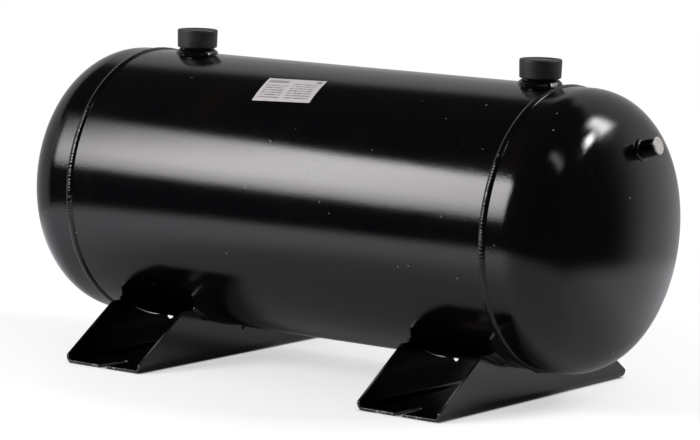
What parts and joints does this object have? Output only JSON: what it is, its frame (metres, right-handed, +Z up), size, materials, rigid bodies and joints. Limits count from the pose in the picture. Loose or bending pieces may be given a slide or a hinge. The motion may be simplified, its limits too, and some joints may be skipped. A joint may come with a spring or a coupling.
{
  "type": "horizontal pressure tank",
  "caption": "Horizontal steel pressure tank with dished ends and girth welds, on folded saddle feet, with capped top ports and a plugged relief stub.",
  "frame": {"origin": "on the floor, under the middle of the overall length and width", "axes": "+X along the tank towards the relief stub, +Y to the back, +Z up"},
  "size_m": [0.6862, 0.326, 0.3285],
  "materials": {
    "black_paint": "gloss black enamel with a slight orange peel",
    "cap_plastic": "satin black moulded plastic",
    "bare_steel": "bright turned face"
  },
  "bodies": {
    "root": {"shell": "black_paint", "left_head": "black_paint", "right_head": "black_paint", "left_girth_weld": "black_paint", "right_girth_weld": "black_paint", "inlet_boss": "black_paint", "outlet_boss": "black_paint", "inlet_boss_weld": "black_paint", "outlet_boss_weld": "black_paint", "relief_stub": "black_paint", "relief_stub_weld": "black_paint", "left_foot": "black_paint", "right_foot": "black_paint", "left_foot_outer_welds": "black_paint", "left_foot_inner_welds": "black_paint", "right_foot_outer_welds": "black_paint", "right_foot_inner_welds": "black_paint", "inlet_cap": "cap_plastic", "outlet_cap": "cap_plastic", "relief_plug": "bare_steel"}
  },
  "joints": []
}
